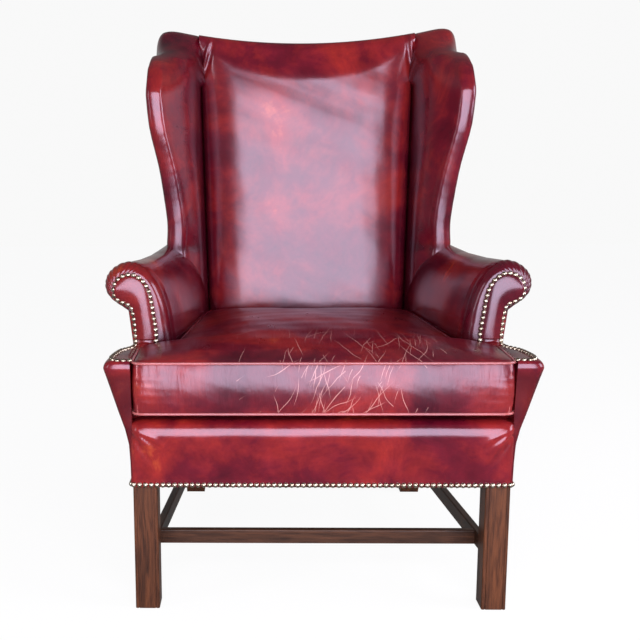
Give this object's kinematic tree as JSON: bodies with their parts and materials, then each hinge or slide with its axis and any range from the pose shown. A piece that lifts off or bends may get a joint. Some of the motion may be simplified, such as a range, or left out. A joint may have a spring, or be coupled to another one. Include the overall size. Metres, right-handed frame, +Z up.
{
  "type": "wing chair",
  "caption": "High-backed wing chair in nailed leather with rolled arms, a loose T-shaped seat cushion, square front legs and a stretcher frame.",
  "frame": {"origin": "on the floor, at the middle of the chair's whole box seen from above", "axes": "+Z up, the chair faces -Y, +X to the right of someone who looks at its front"},
  "size_m": [0.838, 0.785, 1.152],
  "materials": {
    "leather": "glossy hand-rubbed oxblood leather with a mottled orange-red antique finish",
    "leather_welt": "oxblood leather welt, rubbed paler along its crown",
    "mahogany": "polished dark mahogany with worn edges",
    "frame_wood": "plain sawn hardwood under the upholstery",
    "webbing": "woven jute webbing",
    "spring_steel": "copper-washed spring wire",
    "dust_cloth": "thin black bottoming cloth",
    "platform_cloth": "dark red decking cloth over stuffing"
  },
  "bodies": {
    "frame": {"front_leg_left": "mahogany", "front_leg_right": "mahogany", "rear_leg_left": "mahogany", "rear_leg_right": "mahogany", "side_stretcher_left": "mahogany", "side_stretcher_right": "mahogany", "side_rail_left": "frame_wood", "side_rail_right": "frame_wood", "back_post_left": "frame_wood", "back_post_right": "frame_wood", "arm_post_left": "frame_wood", "arm_post_right": "frame_wood", "arm_rail_left": "frame_wood", "arm_rail_right": "frame_wood", "wing_post_left": "frame_wood", "wing_post_right": "frame_wood", "wing_rail_left": "frame_wood", "wing_rail_right": "frame_wood", "inside_arm_left": "leather", "inside_arm_right": "leather", "arm_facing_left": "leather", "arm_facing_right": "leather", "side_bracket_left": "leather", "side_bracket_right": "leather", "side_panel_left": "leather", "side_panel_right": "leather", "wing_left": "leather", "wing_right": "leather", "wing_panel_left": "leather", "wing_panel_right": "leather", "cross_stretcher": "mahogany", "rear_stretcher": "mahogany", "front_rail": "frame_wood", "rear_rail": "frame_wood", "corner_blocks": "frame_wood", "lower_back_rail": "frame_wood", "crest_rail": "frame_wood", "seat_webbing": "webbing", "seat_springs": "spring_steel", "dust_cover": "dust_cloth", "seat_platform": "platform_cloth", "back_webbing": "webbing", "front_border": "leather", "inside_back": "leather", "outside_back": "leather"},
    "cushion": {"seat_cushion": "leather", "cushion_piping": "leather_welt"}
  },
  "joints": [
    {"name": "cushion_lift", "type": "slide", "parent": "frame", "child": "cushion", "axis": [0, -0.12, 0.9928], "range_m": [0, 0.4]}
  ]
}
